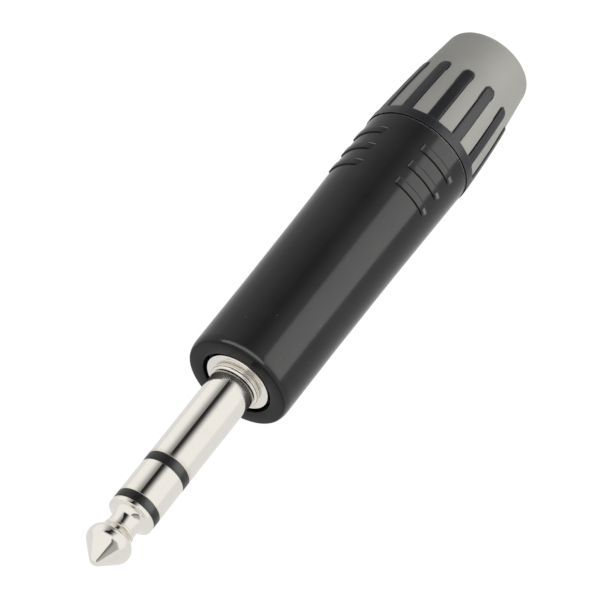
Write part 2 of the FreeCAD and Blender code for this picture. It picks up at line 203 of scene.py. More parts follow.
def bend_round_axis(mesh: Mesh, radius_at: Callable[[float], float], heading: float) -> None:
    """Bend a flat shape round the axis in place.

    Args:
        mesh: Flat shape: x along the axis, y round the surface, z above the surface, all in mm.
        radius_at: Radius of the surface at a station.
        heading: Angle of y = 0 from the top towards +Y, in degrees.
    """
    for vert in mesh.verts:
        station, around, rise = vert.co
        surface = radius_at(station)
        angle = math.radians(heading) + around / surface
        reach = surface + rise
        vert.co = (station, reach * math.sin(angle), reach * math.cos(angle))


def cut_across(mesh: Mesh, axis: int, places: Sequence[float]) -> None:
    """Cut a shape along planes across one of its axes, without taking anything away.

    Args:
        mesh: The shape.
        axis: 0 for x, 1 for y, 2 for z.
        places: Coordinates of the planes.
    """
    normal = Vector(ORIGIN)
    normal[axis] = 1.0
    for place in places:
        bmesh.ops.bisect_plane(mesh, geom=mesh.verts[:] + mesh.edges[:] + mesh.faces[:],
                               plane_co=normal * place, plane_no=normal, dist=MERGE)


def add_object(name: str, data: bpy.types.ID) -> bpy.types.Object:
    """Make an object of some data and put it in the scene."""
    made = bpy.data.objects.new(name, data)
    bpy.context.scene.collection.objects.link(made)
    return made


def finish_piece(
    name: str, mesh: Mesh, material: Material, body: Body,
    replaces: Sequence[str] = (), sharp_degrees: float = 34.0,
) -> None:
    """Turn a bmesh in mm into a dressed object in metres that rides on a body.

    Args:
        name: Name of the piece.
        mesh: The shape, which is freed.
        material: What it is made of.
        body: The body it rides on.
        replaces: CAD nodes that the piece stands for.
        sharp_degrees: Edges sharper than this stay sharp.
    """
    mesh.transform(Matrix.Scale(METRES, 4))
    data = bpy.data.meshes.new(name)
    mesh.to_mesh(data)
    mesh.free()
    for face in data.polygons:
        face.use_smooth = True
    data.set_sharp_from_angle(angle=math.radians(sharp_degrees))
    data.materials.append(material)
    piece = add_object(name, data)
    weighted = piece.modifiers.new("weighted_normals", "WEIGHTED_NORMAL")
    weighted.keep_sharp = True
    weighted.weight = 50
    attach(piece, body.value)
    if replaces:
        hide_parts(*replaces)
    log.info("%s: %d faces", name, len(data.polygons))


# ---- Finishes ----


@dataclass
class Nodes:
    """Short hand for filling a node tree.

    Attributes:
        tree: The tree that is filled.
    """

    tree: bpy.types.NodeTree

    def feed(self, target: Socket, value: object) -> None:
        """Give an input a value, or link it where the value is a socket."""
        if isinstance(value, Socket):
            self.tree.links.new(value, target)
        else:
            target.default_value = value

    def add(
        self, kind: str, inputs: dict[str | int, object] | None = None, **settings: object
    ) -> Node:
        """Add a node, set some of its properties and feed its inputs.

        Args:
            kind: Blender's name of the node type.
            inputs: Values or sockets, by the name or number of the input.
            **settings: Properties of the node.

        Returns:
            The node.
        """
        node = self.tree.nodes.new(kind)
        for name, value in settings.items():
            setattr(node, name, value)
        for label, value in (inputs or {}).items():
            self.feed(node.inputs[label], value)
        return node

    def noise(
        self, where: Socket, scale: Socket | float, detail: float = 2.0, **more: object
    ) -> Socket:
        """Add a noise texture in space.

        Args:
            where: The coordinates it reads.
            scale: Its scale.
            detail: Its detail.
            **more: Values or sockets of its other inputs.

        Returns:
            The noise's socket.
        """
        inputs = {"Vector": where, "Scale": scale, "Detail": detail, **more}
        return self.add("ShaderNodeTexNoise", inputs, noise_dimensions="3D").outputs["Fac"]

    def math(
        self, operation: str, first: Socket | float, second: Socket | float = 0.0,
        third: Socket | float = 0.0, clamp: bool = False,
    ) -> Socket:
        """Add a Math node.

        Args:
            operation: What it works out.
            first: First value or socket.
            second: Second value or socket.
            third: Third value or socket.
            clamp: Keep the result from 0 to 1.

        Returns:
            The result's socket.
        """
        node = self.add("ShaderNodeMath", operation=operation, use_clamp=clamp)
        for target, value in zip(node.inputs, (first, second, third)):
            self.feed(target, value)
        return node.outputs[0]

    def ramp(
        self, value: Socket, low: float, high: float, start: float = 0.0, end: float = 1.0
    ) -> Socket:
        """Map a value smoothly from one range to another, kept inside it.

        Args:
            value: The value's socket.
            low: Value that gives start.
            high: Value that gives end.
            start: Result at low.
            end: Result at high.

        Returns:
            The result's socket.
        """
        inputs = {
            "Value": value, "From Min": low, "From Max": high, "To Min": start, "To Max": end,
        }
        return self.add("ShaderNodeMapRange", inputs, interpolation_type="SMOOTHSTEP",
                        clamp=True).outputs["Result"]

    def mix(self, share: Socket, first: object, second: object) -> Socket:
        """Mix two colours.

        Args:
            share: Share of the second colour.
            first: Colour or socket.
            second: Colour or socket.

        Returns:
            The mixed colour's socket.
        """
        ends = [value if isinstance(value, Socket) else (*value, 1.0)
                for value in (first, second)]
        return self.add("ShaderNodeMix", {0: share, 6: ends[0], 7: ends[1]}, data_type="RGBA",
                        clamp_factor=True).outputs[2]

    def choose(self, share: Socket, first: Node, second: Node) -> Node:
        """Mix two shaders.

        Args:
            share: Share of the second shader.
            first: Node of the first shader.
            second: Node of the second shader.

        Returns:
            The node that mixes them.
        """
        return self.add("ShaderNodeMixShader",
                        {0: share, 1: first.outputs[0], 2: second.outputs[0]})


class Effects:
    """Shader effects that several finishes share, each a node group built once."""

    def __init__(self) -> None:
        """Start with no groups."""
        self._groups: dict[str, bpy.types.NodeTree] = {}

    def _new_group(
        self, name: str, inputs: dict[str, float], outputs: Sequence[str]
    ) -> tuple[Nodes, list[Socket], Node]:
        """Start a node group whose first input is a vector.

        Args:
            name: Name of the group.
            inputs: Default of each float input.
            outputs: Names of the float outputs.

        Returns:
            The group's nodes, its inputs as sockets to read, and its output node.
        """
        group = bpy.data.node_groups.new(name, "ShaderNodeTree")
        add_socket = group.interface.new_socket
        add_socket("Vector", in_out="INPUT", socket_type="NodeSocketVector")
        for label, default in inputs.items():
            socket = add_socket(label, in_out="INPUT", socket_type="NodeSocketFloat")
            socket.default_value = default
        for label in outputs:
            add_socket(label, in_out="OUTPUT", socket_type="NodeSocketFloat")
        nodes = Nodes(group)
        self._groups[name] = group
        read = nodes.add("NodeGroupInput").outputs[:len(inputs) + 1]
        return nodes, list(read), nodes.add("NodeGroupOutput")

    def place(self, nodes: Nodes, name: str, where: Socket, **values: float) -> Node:
        """Place a shared group in a material.

        Args:
            nodes: The material's nodes.
            name: Name of the group: grain, turning, smudge, edge_wear or specks.
            where: The coordinates it reads.
            **values: Values of its inputs, by name.

        Returns:
            The group node.
        """
        if name not in self._groups:
            getattr(self, f"_make_{name}")()
        node = nodes.add("ShaderNodeGroup", node_tree=self._groups[name])
        nodes.feed(node.inputs["Vector"], where)
        for label, value in values.items():
            node.inputs[label.capitalize()].default_value = value
        return node

    def _make_grain(self) -> None:
        """Fine moulded or sprayed grain: a height and a slow variation."""
        nodes, (where, scale, softness), end = self._new_group(
            "grain", {"Scale": 9000.0, "Softness": 0.5}, ["Height", "Variation"]
        )
        fine = nodes.noise(where, scale, 3.0, Roughness=softness)
        pits = nodes.add(
            "ShaderNodeTexVoronoi",
            {"Vector": where, "Scale": nodes.math("MULTIPLY", scale, 0.45), "Smoothness": 0.6},
            feature="SMOOTH_F1",
        )
        nodes.feed(end.inputs["Height"],
                   nodes.math("MULTIPLY_ADD", pits.outputs["Distance"], 0.5, fine))
        nodes.feed(end.inputs["Variation"],
                   nodes.noise(where, nodes.math("MULTIPLY", scale, 0.03)))

    def _make_turning(self) -> None:
        """Rings left by a lathe tool: a height that changes along the axis only."""
        nodes, (where, pitch, waver), end = self._new_group(
            "turning", {"Pitch": 0.00006, "Waver": 0.3}, ["Height"]
        )
        parts = nodes.add("ShaderNodeSeparateXYZ", {0: where})
        along = nodes.math("DIVIDE", parts.outputs["X"], pitch)
        rings = nodes.add("ShaderNodeTexNoise", {"W": along, "Scale": 1.0, "Detail": 2.0},
                          noise_dimensions="1D")
        broken = nodes.math("MULTIPLY", nodes.noise(where, 2600.0), waver)
        nodes.feed(end.inputs["Height"], nodes.math("ADD", rings.outputs["Fac"], broken))

    def _make_smudge(self) -> None:
        """Faint handling marks: a mask of soft, uneven patches."""
        nodes, (where, scale, cover), end = self._new_group(
            "smudge", {"Scale": 260.0, "Cover": 0.5}, ["Mask"]
        )
        patches = nodes.noise(where, scale, 4.0, Distortion=0.4)
        over = nodes.math("SUBTRACT", patches, nodes.math("SUBTRACT", 1.0, cover))
        nodes.feed(end.inputs["Mask"], nodes.math("MULTIPLY", over, 3.0, clamp=True))

    def _make_edge_wear(self) -> None:
        """Rubbed band round one turned edge: a mask broken up by noise."""
        nodes, (where, station, width, breakup), end = self._new_group(
            "edge_wear", {"Station": 0.0, "Width": 0.0003, "Breakup": 0.6}, ["Mask"]
        )
        parts = nodes.add("ShaderNodeSeparateXYZ", {0: where})
        away = nodes.math("ABSOLUTE", nodes.math("SUBTRACT", parts.outputs["X"], station))
        near = nodes.math("SUBTRACT", 1.0, nodes.math("DIVIDE", away, width), clamp=True)
        eaten = nodes.math("MULTIPLY", nodes.noise(where, 1500.0, 3.0), breakup)
        nodes.feed(end.inputs["Mask"], nodes.math("SUBTRACT", near, eaten, clamp=True))

    def _make_specks(self) -> None:
        """Scattered dust or moulding specks: a sparse mask."""
        nodes, (where, scale, size), end = self._new_group(
            "specks", {"Scale": 1500.0, "Size": 0.12}, ["Mask"]
        )
        dots = nodes.add("ShaderNodeTexVoronoi", {"Vector": where, "Scale": scale}, feature="F1")
        inside = nodes.math("LESS_THAN", dots.outputs["Distance"], size)
        colour = nodes.add("ShaderNodeSeparateColor", {0: dots.outputs["Color"]})
        chosen = nodes.math("GREATER_THAN", colour.outputs[0], 0.8)
        nodes.feed(end.inputs["Mask"], nodes.math("MULTIPLY", inside, chosen))


@dataclass(frozen=True)
class Finish:
    """What every finish starts from.

    Attributes:
        name: Name of the material.
        colour: Main colour, linear.
        roughness: Main roughness.
    """

    name: str
    colour: Colour
    roughness: float

    def start(self) -> tuple[Material, Nodes, Node, Socket]:
        """Make the material with its shader.

        Returns:
            The material, its nodes, its shader and the socket of its object coordinates.
        """
        material = bpy.data.materials.new(self.name)
        material.use_nodes = True
        material.diffuse_color = (*self.colour, 1.0)
        nodes = Nodes(material.node_tree)
        shader = material.node_tree.nodes["Principled BSDF"]
        shader.inputs["Base Color"].default_value = (*self.colour, 1.0)
        shader.inputs["Roughness"].default_value = self.roughness
        where = nodes.add("ShaderNodeTexCoord").outputs["Object"]
        return material, nodes, shader, where


def add_bump(
    nodes: Nodes, shader: Node, height: Socket, strength: float, distance: float
) -> None:
    """Feed a height to the shader's normal.

    Args:
        nodes: The material's nodes.
        shader: Its shader.
        height: The height's socket.
        strength: Strength of the bump.
        distance: Depth of the relief in metres.
    """
    bump = nodes.add("ShaderNodeBump",
                     {"Strength": strength, "Distance": distance, "Height": height})
    nodes.feed(shader.inputs["Normal"], bump.outputs["Normal"])


@dataclass(frozen=True)
class PlatedMetal(Finish):
    """Bright plating on a turned piece, with faint tool rings, smudges and duller edges.

    Attributes:
        warm_tint: Warm colour of the duller places and the smudges.
        dull_stations: Stations in mm of edges where the plating looks duller.
        dull_width: Width of that band in mm.
        dulling: Roughness that the duller places gain.
        ring_depth: Depth of the tool rings in metres.
    """

    warm_tint: Colour = (0.62, 0.54, 0.44)
    dull_stations: tuple[float, ...] = ()
    dull_width: float = 0.3
    dulling: float = 0.15
    ring_depth: float = 1.2e-7

    def build(self, effects: Effects) -> Material:
        """Make the material.

        Args:
            effects: The shared effects.

        Returns:
            The finished material.
        """
        material, nodes, shader, where = self.start()
        shader.inputs["Metallic"].default_value = 1.0
        smudge = effects.place(nodes, "smudge", where, scale=420.0, cover=0.46)
        colour = nodes.mix(nodes.math("MULTIPLY", smudge.outputs["Mask"], 0.12), self.colour,
                           self.warm_tint)
        rough = nodes.math("MULTIPLY_ADD", smudge.outputs["Mask"], 0.06, self.roughness)
        for station in self.dull_stations:
            wear = effects.place(nodes, "edge_wear", where, station=station * METRES,
                                 width=self.dull_width * METRES, breakup=0.35)
            colour = nodes.mix(nodes.math("MULTIPLY", wear.outputs["Mask"], 0.5), colour,
                               self.warm_tint)
            rough = nodes.math("MULTIPLY_ADD", wear.outputs["Mask"], self.dulling, rough)
        nodes.feed(shader.inputs["Base Color"], colour)
        nodes.feed(shader.inputs["Roughness"], rough)
        rings = effects.place(nodes, "turning", where, pitch=0.00007, waver=0.25)
        add_bump(nodes, shader, rings.outputs["Height"], 1.0, self.ring_depth)
        return material


@dataclass(frozen=True)
class CoatedMetal(Finish):
    """Satin coating on cast metal, with sprayed grain, rubbed edges, painted highlights where the
    mesh marks them, and a little dust.

    Attributes:
        rubbed: Colour of the rubbed edges.
        rubbed_stations: Stations in mm of the edges that are rubbed.
        index: Index of refraction of the coating.
        highlight_colour: Colour of the painted highlights that the mesh marks.
    """

    rubbed: Colour = (0.05, 0.05, 0.052)
    rubbed_stations: tuple[float, ...] = ()
    index: float = 1.28
    highlight_colour: Colour = (0.1, 0.1, 0.098)

    def build(self, effects: Effects) -> Material:
        """Make the material.

        Args:
            effects: The shared effects.

        Returns:
            The finished material.
        """
        material, nodes, shader, where = self.start()
        shader.inputs["IOR"].default_value = self.index
        grain = effects.place(nodes, "grain", where, scale=7000.0, softness=0.55)
        smudge = effects.place(nodes, "smudge", where, scale=170.0, cover=0.45)
        specks = effects.place(nodes, "specks", where, scale=900.0, size=0.05)
        colour = nodes.mix(nodes.math("MULTIPLY", grain.outputs["Variation"], 0.35), self.colour,
                           self.rubbed)
        for station in self.rubbed_stations:
            wear = effects.place(nodes, "edge_wear", where, station=station * METRES,
                                 width=0.00035, breakup=0.9)
            colour = nodes.mix(wear.outputs["Mask"], colour, self.rubbed)
        # Painted highlights where the vertex attribute is positive; where it is -1 only the
        # roughness rises
        painted_highlight_and_dull = nodes.add("ShaderNodeAttribute", attribute_type="GEOMETRY", attribute_name=PAINTED_HIGHLIGHT_AND_DULL)
        patchy = nodes.math("MULTIPLY_ADD", grain.outputs["Variation"], 0.5, 0.6)
        colour = nodes.mix(nodes.math("MULTIPLY", painted_highlight_and_dull.outputs["Fac"], patchy), colour, self.highlight_colour)
        dull = nodes.math("MAXIMUM", nodes.math("MULTIPLY", painted_highlight_and_dull.outputs["Fac"], -0.7), 0.0)
        dusty = nodes.math("MULTIPLY", specks.outputs["Mask"], 0.25)
        colour = nodes.mix(dusty, colour, (0.22, 0.21, 0.2))
        nodes.feed(shader.inputs["Base Color"], colour)
        rough = nodes.math("MULTIPLY_ADD", smudge.outputs["Mask"], 0.05, self.roughness)
        nodes.feed(shader.inputs["Roughness"], nodes.math("ADD", rough, dull))
        add_bump(nodes, shader, grain.outputs["Height"], 0.5, 4.0e-6)
        return material


@dataclass(frozen=True)
class MouldedPlastic(Finish):
    """Moulded plastic or rubber with a fine grain and slow changes of tone.

    Attributes:
        tone: Second colour of the slow changes.
        grain_scale: Scale of the grain, per metre.
        grain_depth: Depth of the grain in metres.
        index: Index of refraction.
        scuffed_stations: Stations in mm of the edges that are scuffed.
        scuff: Colour of the scuffs.
    """

    tone: Colour = (0.05, 0.05, 0.05)
    grain_scale: float = 6000.0
    grain_depth: float = 6.0e-6
    index: float = 1.46
    scuffed_stations: tuple[float, ...] = ()
    scuff: Colour = (0.12, 0.12, 0.12)

    def build(self, effects: Effects) -> Material:
        """Make the material.

        Args:
            effects: The shared effects.

        Returns:
            The finished material.
        """
        material, nodes, shader, where = self.start()
        shader.inputs["IOR"].default_value = self.index
        grain = effects.place(nodes, "grain", where, scale=self.grain_scale, softness=0.5)
        smudge = effects.place(nodes, "smudge", where, scale=220.0, cover=0.5)
        share = nodes.ramp(grain.outputs["Variation"], 0.35, 0.65)
        colour = nodes.mix(share, self.colour, self.tone)
        for station in self.scuffed_stations:
            wear = effects.place(nodes, "edge_wear", where, station=station * METRES,
                                 width=0.00030, breakup=0.9)
            colour = nodes.mix(wear.outputs["Mask"], colour, self.scuff)
        nodes.feed(shader.inputs["Base Color"], colour)
        rough = nodes.math("MULTIPLY_ADD", smudge.outputs["Mask"], 0.08, self.roughness)
        nodes.feed(shader.inputs["Roughness"], rough)
        add_bump(nodes, shader, grain.outputs["Height"], 0.6, self.grain_depth)
        return material


@dataclass(frozen=True)
class LaminatedBoard(Finish):
    """Brown laminated washer board with fibres that run across it.

    Attributes:
        fibre: Colour of the fibres.
    """

    fibre: Colour = (0.55, 0.38, 0.2)

    def build(self, effects: Effects) -> Material:
        """Make the material.

        Args:
            effects: The shared effects.

        Returns:
            The finished material.
        """
        material, nodes, shader, where = self.start()
        stretch = nodes.add("ShaderNodeMapping", {"Vector": where, "Scale": (1.0, 14.0, 1.0)})
        grain = effects.place(nodes, "grain", stretch.outputs["Vector"], scale=1400.0,
                              softness=0.6)
        share = nodes.ramp(grain.outputs["Height"], 0.4, 0.9)
        nodes.feed(shader.inputs["Base Color"], nodes.mix(share, self.colour, self.fibre))
        add_bump(nodes, shader, grain.outputs["Height"], 0.5, 8.0e-6)
        return material


@dataclass
class Palette:
    """All the finishes of the plug, built once.

    Attributes:
        effects: The shared effects.
    """

    effects: Effects = field(default_factory=Effects)

    def __post_init__(self) -> None:
        """Build the materials."""
        plating = (0.84, 0.815, 0.765)
        self.tip_plating = PlatedMetal(
            "tip_plating", plating, 0.07, dull_stations=(22.23, 25.7), dull_width=0.28
        ).build(self.effects)
        self.ring_plating = PlatedMetal(
            "ring_plating", plating, 0.07, dull_stations=(20.91, 15.59), dull_width=0.28
        ).build(self.effects)
        self.sleeve_plating = PlatedMetal(
            "sleeve_plating", plating, 0.08, dull_stations=(14.16, -0.45), dull_width=0.9,
            dulling=0.25,
        ).build(self.effects)
        self.collar_plating = PlatedMetal(
            "collar_plating", plating, 0.1, dull_stations=(-1.67,), dull_width=0.22
        ).build(self.effects)
        self.plated = [
            self.tip_plating, self.ring_plating, self.sleeve_plating, self.collar_plating,
        ]
        self.ring_plastic = MouldedPlastic(
            "ring_plastic", (0.01, 0.01, 0.011), 0.32, tone=(0.015, 0.015, 0.017),
            grain_scale=9000.0, grain_depth=2.0e-6, index=1.42,
        ).build(self.effects)
        self.shell_coating = CoatedMetal(
            "shell_coating", (0.0045, 0.0045, 0.0048), 0.15, rubbed=(0.014, 0.014, 0.0145),
            rubbed_stations=(-2.1, -46.0),
        ).build(self.effects)
        self.bushing_plastic = MouldedPlastic(
            "bushing_plastic", (0.017, 0.0175, 0.021), 0.34, tone=(0.023, 0.0235, 0.028),
            grain_scale=6500.0, grain_depth=6.0e-6, index=1.32, scuffed_stations=(-46.3, -47.7),
            scuff=(0.05, 0.05, 0.054),
        ).build(self.effects)
        self.boot_rubber = MouldedPlastic(
            "boot_rubber", (0.325, 0.322, 0.302), 0.55, tone=(0.35, 0.347, 0.326),
            grain_scale=5000.0, grain_depth=9.0e-6, index=1.4, scuffed_stations=(-65.3,),
            scuff=(0.37, 0.37, 0.35),
        ).build(self.effects)
        self.carrier_plastic = MouldedPlastic(
            "carrier_plastic", (0.012, 0.012, 0.013), 0.5, tone=(0.018, 0.018, 0.018),
        ).build(self.effects)
        self.terminal_metal = PlatedMetal(
            "terminal_metal", (0.78, 0.73, 0.6), 0.28, warm_tint=(0.5, 0.38, 0.22),
            ring_depth=1.0e-6,
        ).build(self.effects)
        self.washer_board = LaminatedBoard("washer_board", (0.38, 0.24, 0.12), 0.6).build(
            self.effects
        )
        self.liner_plastic = MouldedPlastic(
            "liner_plastic", (0.6, 0.61, 0.59), 0.4, tone=(0.66, 0.67, 0.65),
        ).build(self.effects)
        self.chuck_plastic = MouldedPlastic(
            "chuck_plastic", (0.66, 0.65, 0.58), 0.32, tone=(0.72, 0.71, 0.64),
        ).build(self.effects)


# ---- The plug ----


@dataclass
class Assembly:
    """A sub-assembly, with its sizes in mm, that is dressed from the palette.

    Attributes:
        palette: The finishes.
    """

    palette: Palette


@dataclass
class Finger(Assembly):
    """The part that goes into a socket: tip, ring and sleeve with black rings between them.

    Attributes:
        radius: Radius of the finger.
        edge: Rounding of the contacts' edges.
        ring_edge: Rounding of the black rings' edges.
        rod: Radius of the tip's rod.
        ring_tube: Radius of the front ring's tube.
        barrel_tube: Radius of the ring contact's tube.
        sleeve_tube: Radius of the rear ring's tube.
        shank: Radius of the sleeve's shank.
        joints: Stations of the joints between the five pieces, from the tip.
    """

    radius: float = 3.175
    edge: float = 0.05
    ring_edge: float = 0.03
    rod: float = 0.75
    ring_tube: float = 1.1
    barrel_tube: float = 1.5
    sleeve_tube: float = 1.9
    shank: float = 2.6
    joints: tuple[float, float, float, float] = (22.23, 20.91, 15.59, 14.16)

    def build(self) -> None:
        """Make and dress the five pieces."""
        look = self.palette
        front, middle, back, rear = self.joints
        self._tip()
        self._band("tip_ring", "tip_insulator", (front, middle, -14.2), (self.rod, self.ring_tube),
                   self.ring_edge, look.ring_plastic, Slot.RING_PLASTIC)
        self._band("ring_barrel", "ring_contact", (middle, back, -13.4),
                   (self.ring_tube, self.barrel_tube), self.edge, look.ring_plating, Slot.NICKEL)
        self._band("sleeve_ring", "ring_insulator", (back, rear, -12.9),
                   (self.barrel_tube, self.sleeve_tube), self.ring_edge, look.ring_plastic,
                   Slot.RING_PLASTIC)
        self._sleeve()

    def _tip(self) -> None:
        """Ball tip with its bead and flared neck, and the rod behind it."""
        shape = turned([
            Corner(31.19, 0.0),
            Corner(31.19, 0.4548, 0.45, 10),
            Corner(27.672, 3.566, 1.24, 20),
            Corner(25.78, 2.12, 0.06, 3),
            Corner(25.66, 2.02, 0.04, 3),
            Corner(25.6, 2.12, 0.05, 3),
            Corner(25.28, 2.12, 0.1, 4),
            Corner(25.22, 1.96, 0.05, 3),
            Corner(24.1, 1.96, 0.35, 6),
            Corner(23.185, 2.226, 0.6, 12),
            Corner(22.83, self.radius, 0.06, 3),
            Corner(self.joints[0], self.radius, self.edge, 3),
            Corner(self.joints[0], self.rod),
            Corner(-14.7, self.rod),
            Corner(-14.7, 1.35, 0.1, 2),
            Corner(-15.3, 1.05, 0.2, 4),
            Corner(-15.3, 0.0),
        ])
        finish_piece("tip", shape, self.palette.tip_plating, Body.PLUG,
                     ["tip_contact"])

    def _band(
        self, name: str, node: str, stations: tuple[float, float, float],
        bores: tuple[float, float], edge: float, material: Material, slot: Slot,
    ) -> None:
        """One band of the finger with the tube that runs back from it.

        Args:
            name: Name of the piece.
            node: The CAD node it stands for.
            stations: Front of the band, rear of the band and rear of its tube.
            bores: Inner and outer radius of the tube.
            edge: Rounding of the band's edges.
            material: Its finish.
            slot: The record's slot, which is not used.
        """
        front, rear, tube_rear = stations
        bore, tube = bores
        shape = turned([
            Corner(front, bore),
            Corner(front, self.radius, edge, 3),
            Corner(rear, self.radius, edge, 3),
            Corner(rear, tube),
            Corner(tube_rear, tube),
            Corner(tube_rear, bore),
        ])
        finish_piece(name, shape, material, Body.PLUG, [node])

    def _sleeve(self) -> None:
        """Long barrel, with the shoulder band at its rear and the shank behind it."""
        front = self.joints[3]
        band = self.radius + 0.02
        shape = turned([
            Corner(front, self.sleeve_tube),
            Corner(front, self.radius, self.edge, 3),
            Corner(0.35, self.radius, 0.3, 4),
            Corner(-0.05, band, 0.3, 4),
            Corner(-0.74, band, 0.04, 3),
            Corner(-0.74, self.shank),
            Corner(-12.1, self.shank),
            Corner(-12.1, self.sleeve_tube),
        ])
        finish_piece("sleeve_barrel", shape, self.palette.sleeve_plating, Body.PLUG,
                     ["sleeve_contact"])


@dataclass
class FrontCollar(Assembly):
    """Plated collar on the shank: boss, groove and flange.

    Attributes:
        bore: Radius of its bore.
        boss: Radius of the boss.
        groove: Radius of the groove's floor.
        flange: Radius of the flange.
        front: Station of the boss's front.
        step: Station of the flange's front.
        rear: Station of the flange's rear.
    """

    bore: float = 2.6
    boss: float = 3.55
    groove: float = 3.3
    flange: float = 4.65
    front: float = -0.9
    step: float = -1.85
    rear: float = -3.05

    def build(self) -> None:
        """Make and dress the collar."""
        shape = turned([
            Corner(self.front, self.bore),
            Corner(self.front, self.boss, 0.3, 8),
            Corner(-1.5, self.boss, 0.05, 3),
            Corner(-1.53, self.groove, 0.06, 3),
            Corner(self.step, self.groove, 0.12, 5),
            Corner(self.step, self.flange - 0.1, 0.05, 3),
            Corner(self.step - 0.12, self.flange, 0.05, 3),
            Corner(self.rear, self.flange, 0.06, 2),
            Corner(self.rear, self.bore),
        ])
        finish_piece("front_boss", shape, self.palette.collar_plating, Body.PLUG,
                     ["front_collar"])


@dataclass
class Shell(Assembly):
    """Black housing with a rounded front edge, a flared rear and four sets of ribs.

    Attributes:
        front: Station of the front face.
        wall_rear: Station of the front wall's inner face.
        thread_front: Station where the thread begins.
        rear: Station of the rear face.
        straight_rear: Station where the flare starts.
        front_radius: Radius of the straight part.
        rear_radius: Radius at the rear.
        mouth: Radius of the opening in the front face.
        bore: Radius of the bore.
        thread: Radius of the thread.
        edge_length: Length of the rounded front edge along the axis.
        edge_drop: How far that edge lies inside the outside at the front face.
        painted_highlight_reach: How far the rubbing of the rear edge reaches.
        rib_stations: Middles of the ribs.
        rib_headings: Middles of the rib sets round the axis, from the top towards +Y, in degrees.
        rib_width: Width of a rib at its foot.
        rib_height: Height of a rib.
        rib_root: How deep a rib's foot lies in the housing.
        rib_arc: Length of a rib round the axis, in degrees.
        rib_cap: Length of a rib's first end, which has a painted highlight.
        run_out: Length of the slope at a rib's last end.
    """

    front: float = -1.72
    wall_rear: float = -3.6
    thread_front: float = -38.1
    rear: float = -46.17
    straight_rear: float = -21.85
    front_radius: float = 7.45
    rear_radius: float = 7.9
    mouth: float = 5.12
    bore: float = 6.3
    thread: float = 6.85
    edge_length: float = 1.35
    edge_drop: float = 0.4
    painted_highlight_reach: float = 0.12
    rib_stations: tuple[float, ...] = (-42.95, -39.75, -36.55)
    rib_headings: tuple[float, ...] = (46.2, 151.0, 211.4, 316.2)
    rib_width: float = 1.35
    rib_height: float = 0.18
    rib_root: float = 0.12
    rib_arc: float = 52.0
    rib_cap: float = 0.34
    run_out: float = 1.4

    def radius_at(self, station: float) -> float:
        """Radius of the outside at a station.

        Args:
            station: Place on the axis.

        Returns:
            The radius.
        """
        share = (self.straight_rear - station) / (self.straight_rear - self.rear)
        return self.front_radius + (self.rear_radius - self.front_radius) * max(0.0, share)

    def build(self) -> None:
        """Make and dress the housing."""
        housing = turned([
            Corner(self.front, self.mouth, 0.1, 4),
            *self._front_edge(),
            Corner(self.straight_rear, self.front_radius, 7.0, 10),
            Corner(self.rear, self.rear_radius, 0.15, 5),
            Corner(self.rear, self.thread, 0.1, 2),
            Corner(self.thread_front, self.thread),
            Corner(self.thread_front, self.bore),
            Corner(self.wall_rear, self.bore),
            Corner(self.wall_rear, self.mouth),
        ])
        # Painted highlight along the outer rear edge, kept in the vertex attribute
        painted_highlight_and_dull = housing.verts.layers.float.new(PAINTED_HIGHLIGHT_AND_DULL)
        for vert in housing.verts:
            outside = math.hypot(vert.co.y, vert.co.z) > self.rear_radius - 0.1
            vert[painted_highlight_and_dull] = float(outside and vert.co.x < self.rear + self.painted_highlight_reach)
        ribs = [
            self._rib(station, heading)
            for station in self.rib_stations
            for heading in self.rib_headings
        ]
        finish_piece("shell_housing", join_meshes([housing, *ribs]),
                     self.palette.shell_coating, Body.PLUG, ["shell"])

    def _front_edge(self) -> list[Corner]:
        """Quarter ellipse from the front face to the outside.

        Returns:
            Its points, from the face backwards.
        """
        facets = 12
        angles = [math.pi / 2 * step / facets for step in range(facets + 1)]
        return [
            Corner(
                self.front - self.edge_length * (1.0 - math.cos(angle)),
                self.front_radius - self.edge_drop * (1.0 - math.sin(angle)),
            )
            for angle in angles
        ]

    def _rib(self, station: float, heading: float) -> Mesh:
        """One raised rib with sloped ends.

        Args:
            station: Its middle along the axis in mm.
            heading: Its middle round the axis, in degrees from the top towards +Y.

        Returns:
            The rib's mesh, bent round the shell.
        """
        length = math.radians(self.rib_arc) * self.radius_at(station)
        half, height, gutter = self.rib_width / 2, self.rib_height, 0.17
        rib = section_edges([
            Corner(half, -self.rib_root),
            Corner(half - 0.05, height, 0.04, 3),
            Corner(gutter + 0.05 - half, height, 0.08, 4),
            Corner(gutter - half, 0.03),
            Corner(-half, 0.015),
            Corner(-half, -self.rib_root),
        ])
        bmesh.ops.contextual_create(rib, geom=rib.edges[:])
        bmesh.ops.translate(rib, vec=(station, -length / 2, 0.0), verts=rib.verts)
        pushed = bmesh.ops.extrude_face_region(rib, geom=rib.faces[:])["geom"]
        bmesh.ops.translate(rib, vec=(0.0, length, 0.0), verts=vertices(pushed))
        # Its first end is short, its last end runs out in a long slope
        for vert in rib.verts:
            share = max(0.0, vert.co.z / height)
            vert.co.y += 0.2 * share if vert.co.y < 0.0 else -self.run_out * share
        steps = 20
        cap, tail = self.rib_cap - length / 2, length / 2 - self.run_out
        cut_across(rib, 1, [length * (step / steps - 0.5) for step in range(1, steps)])
        cut_across(rib, 1, [cap, cap + 0.06, tail - 0.06, tail])
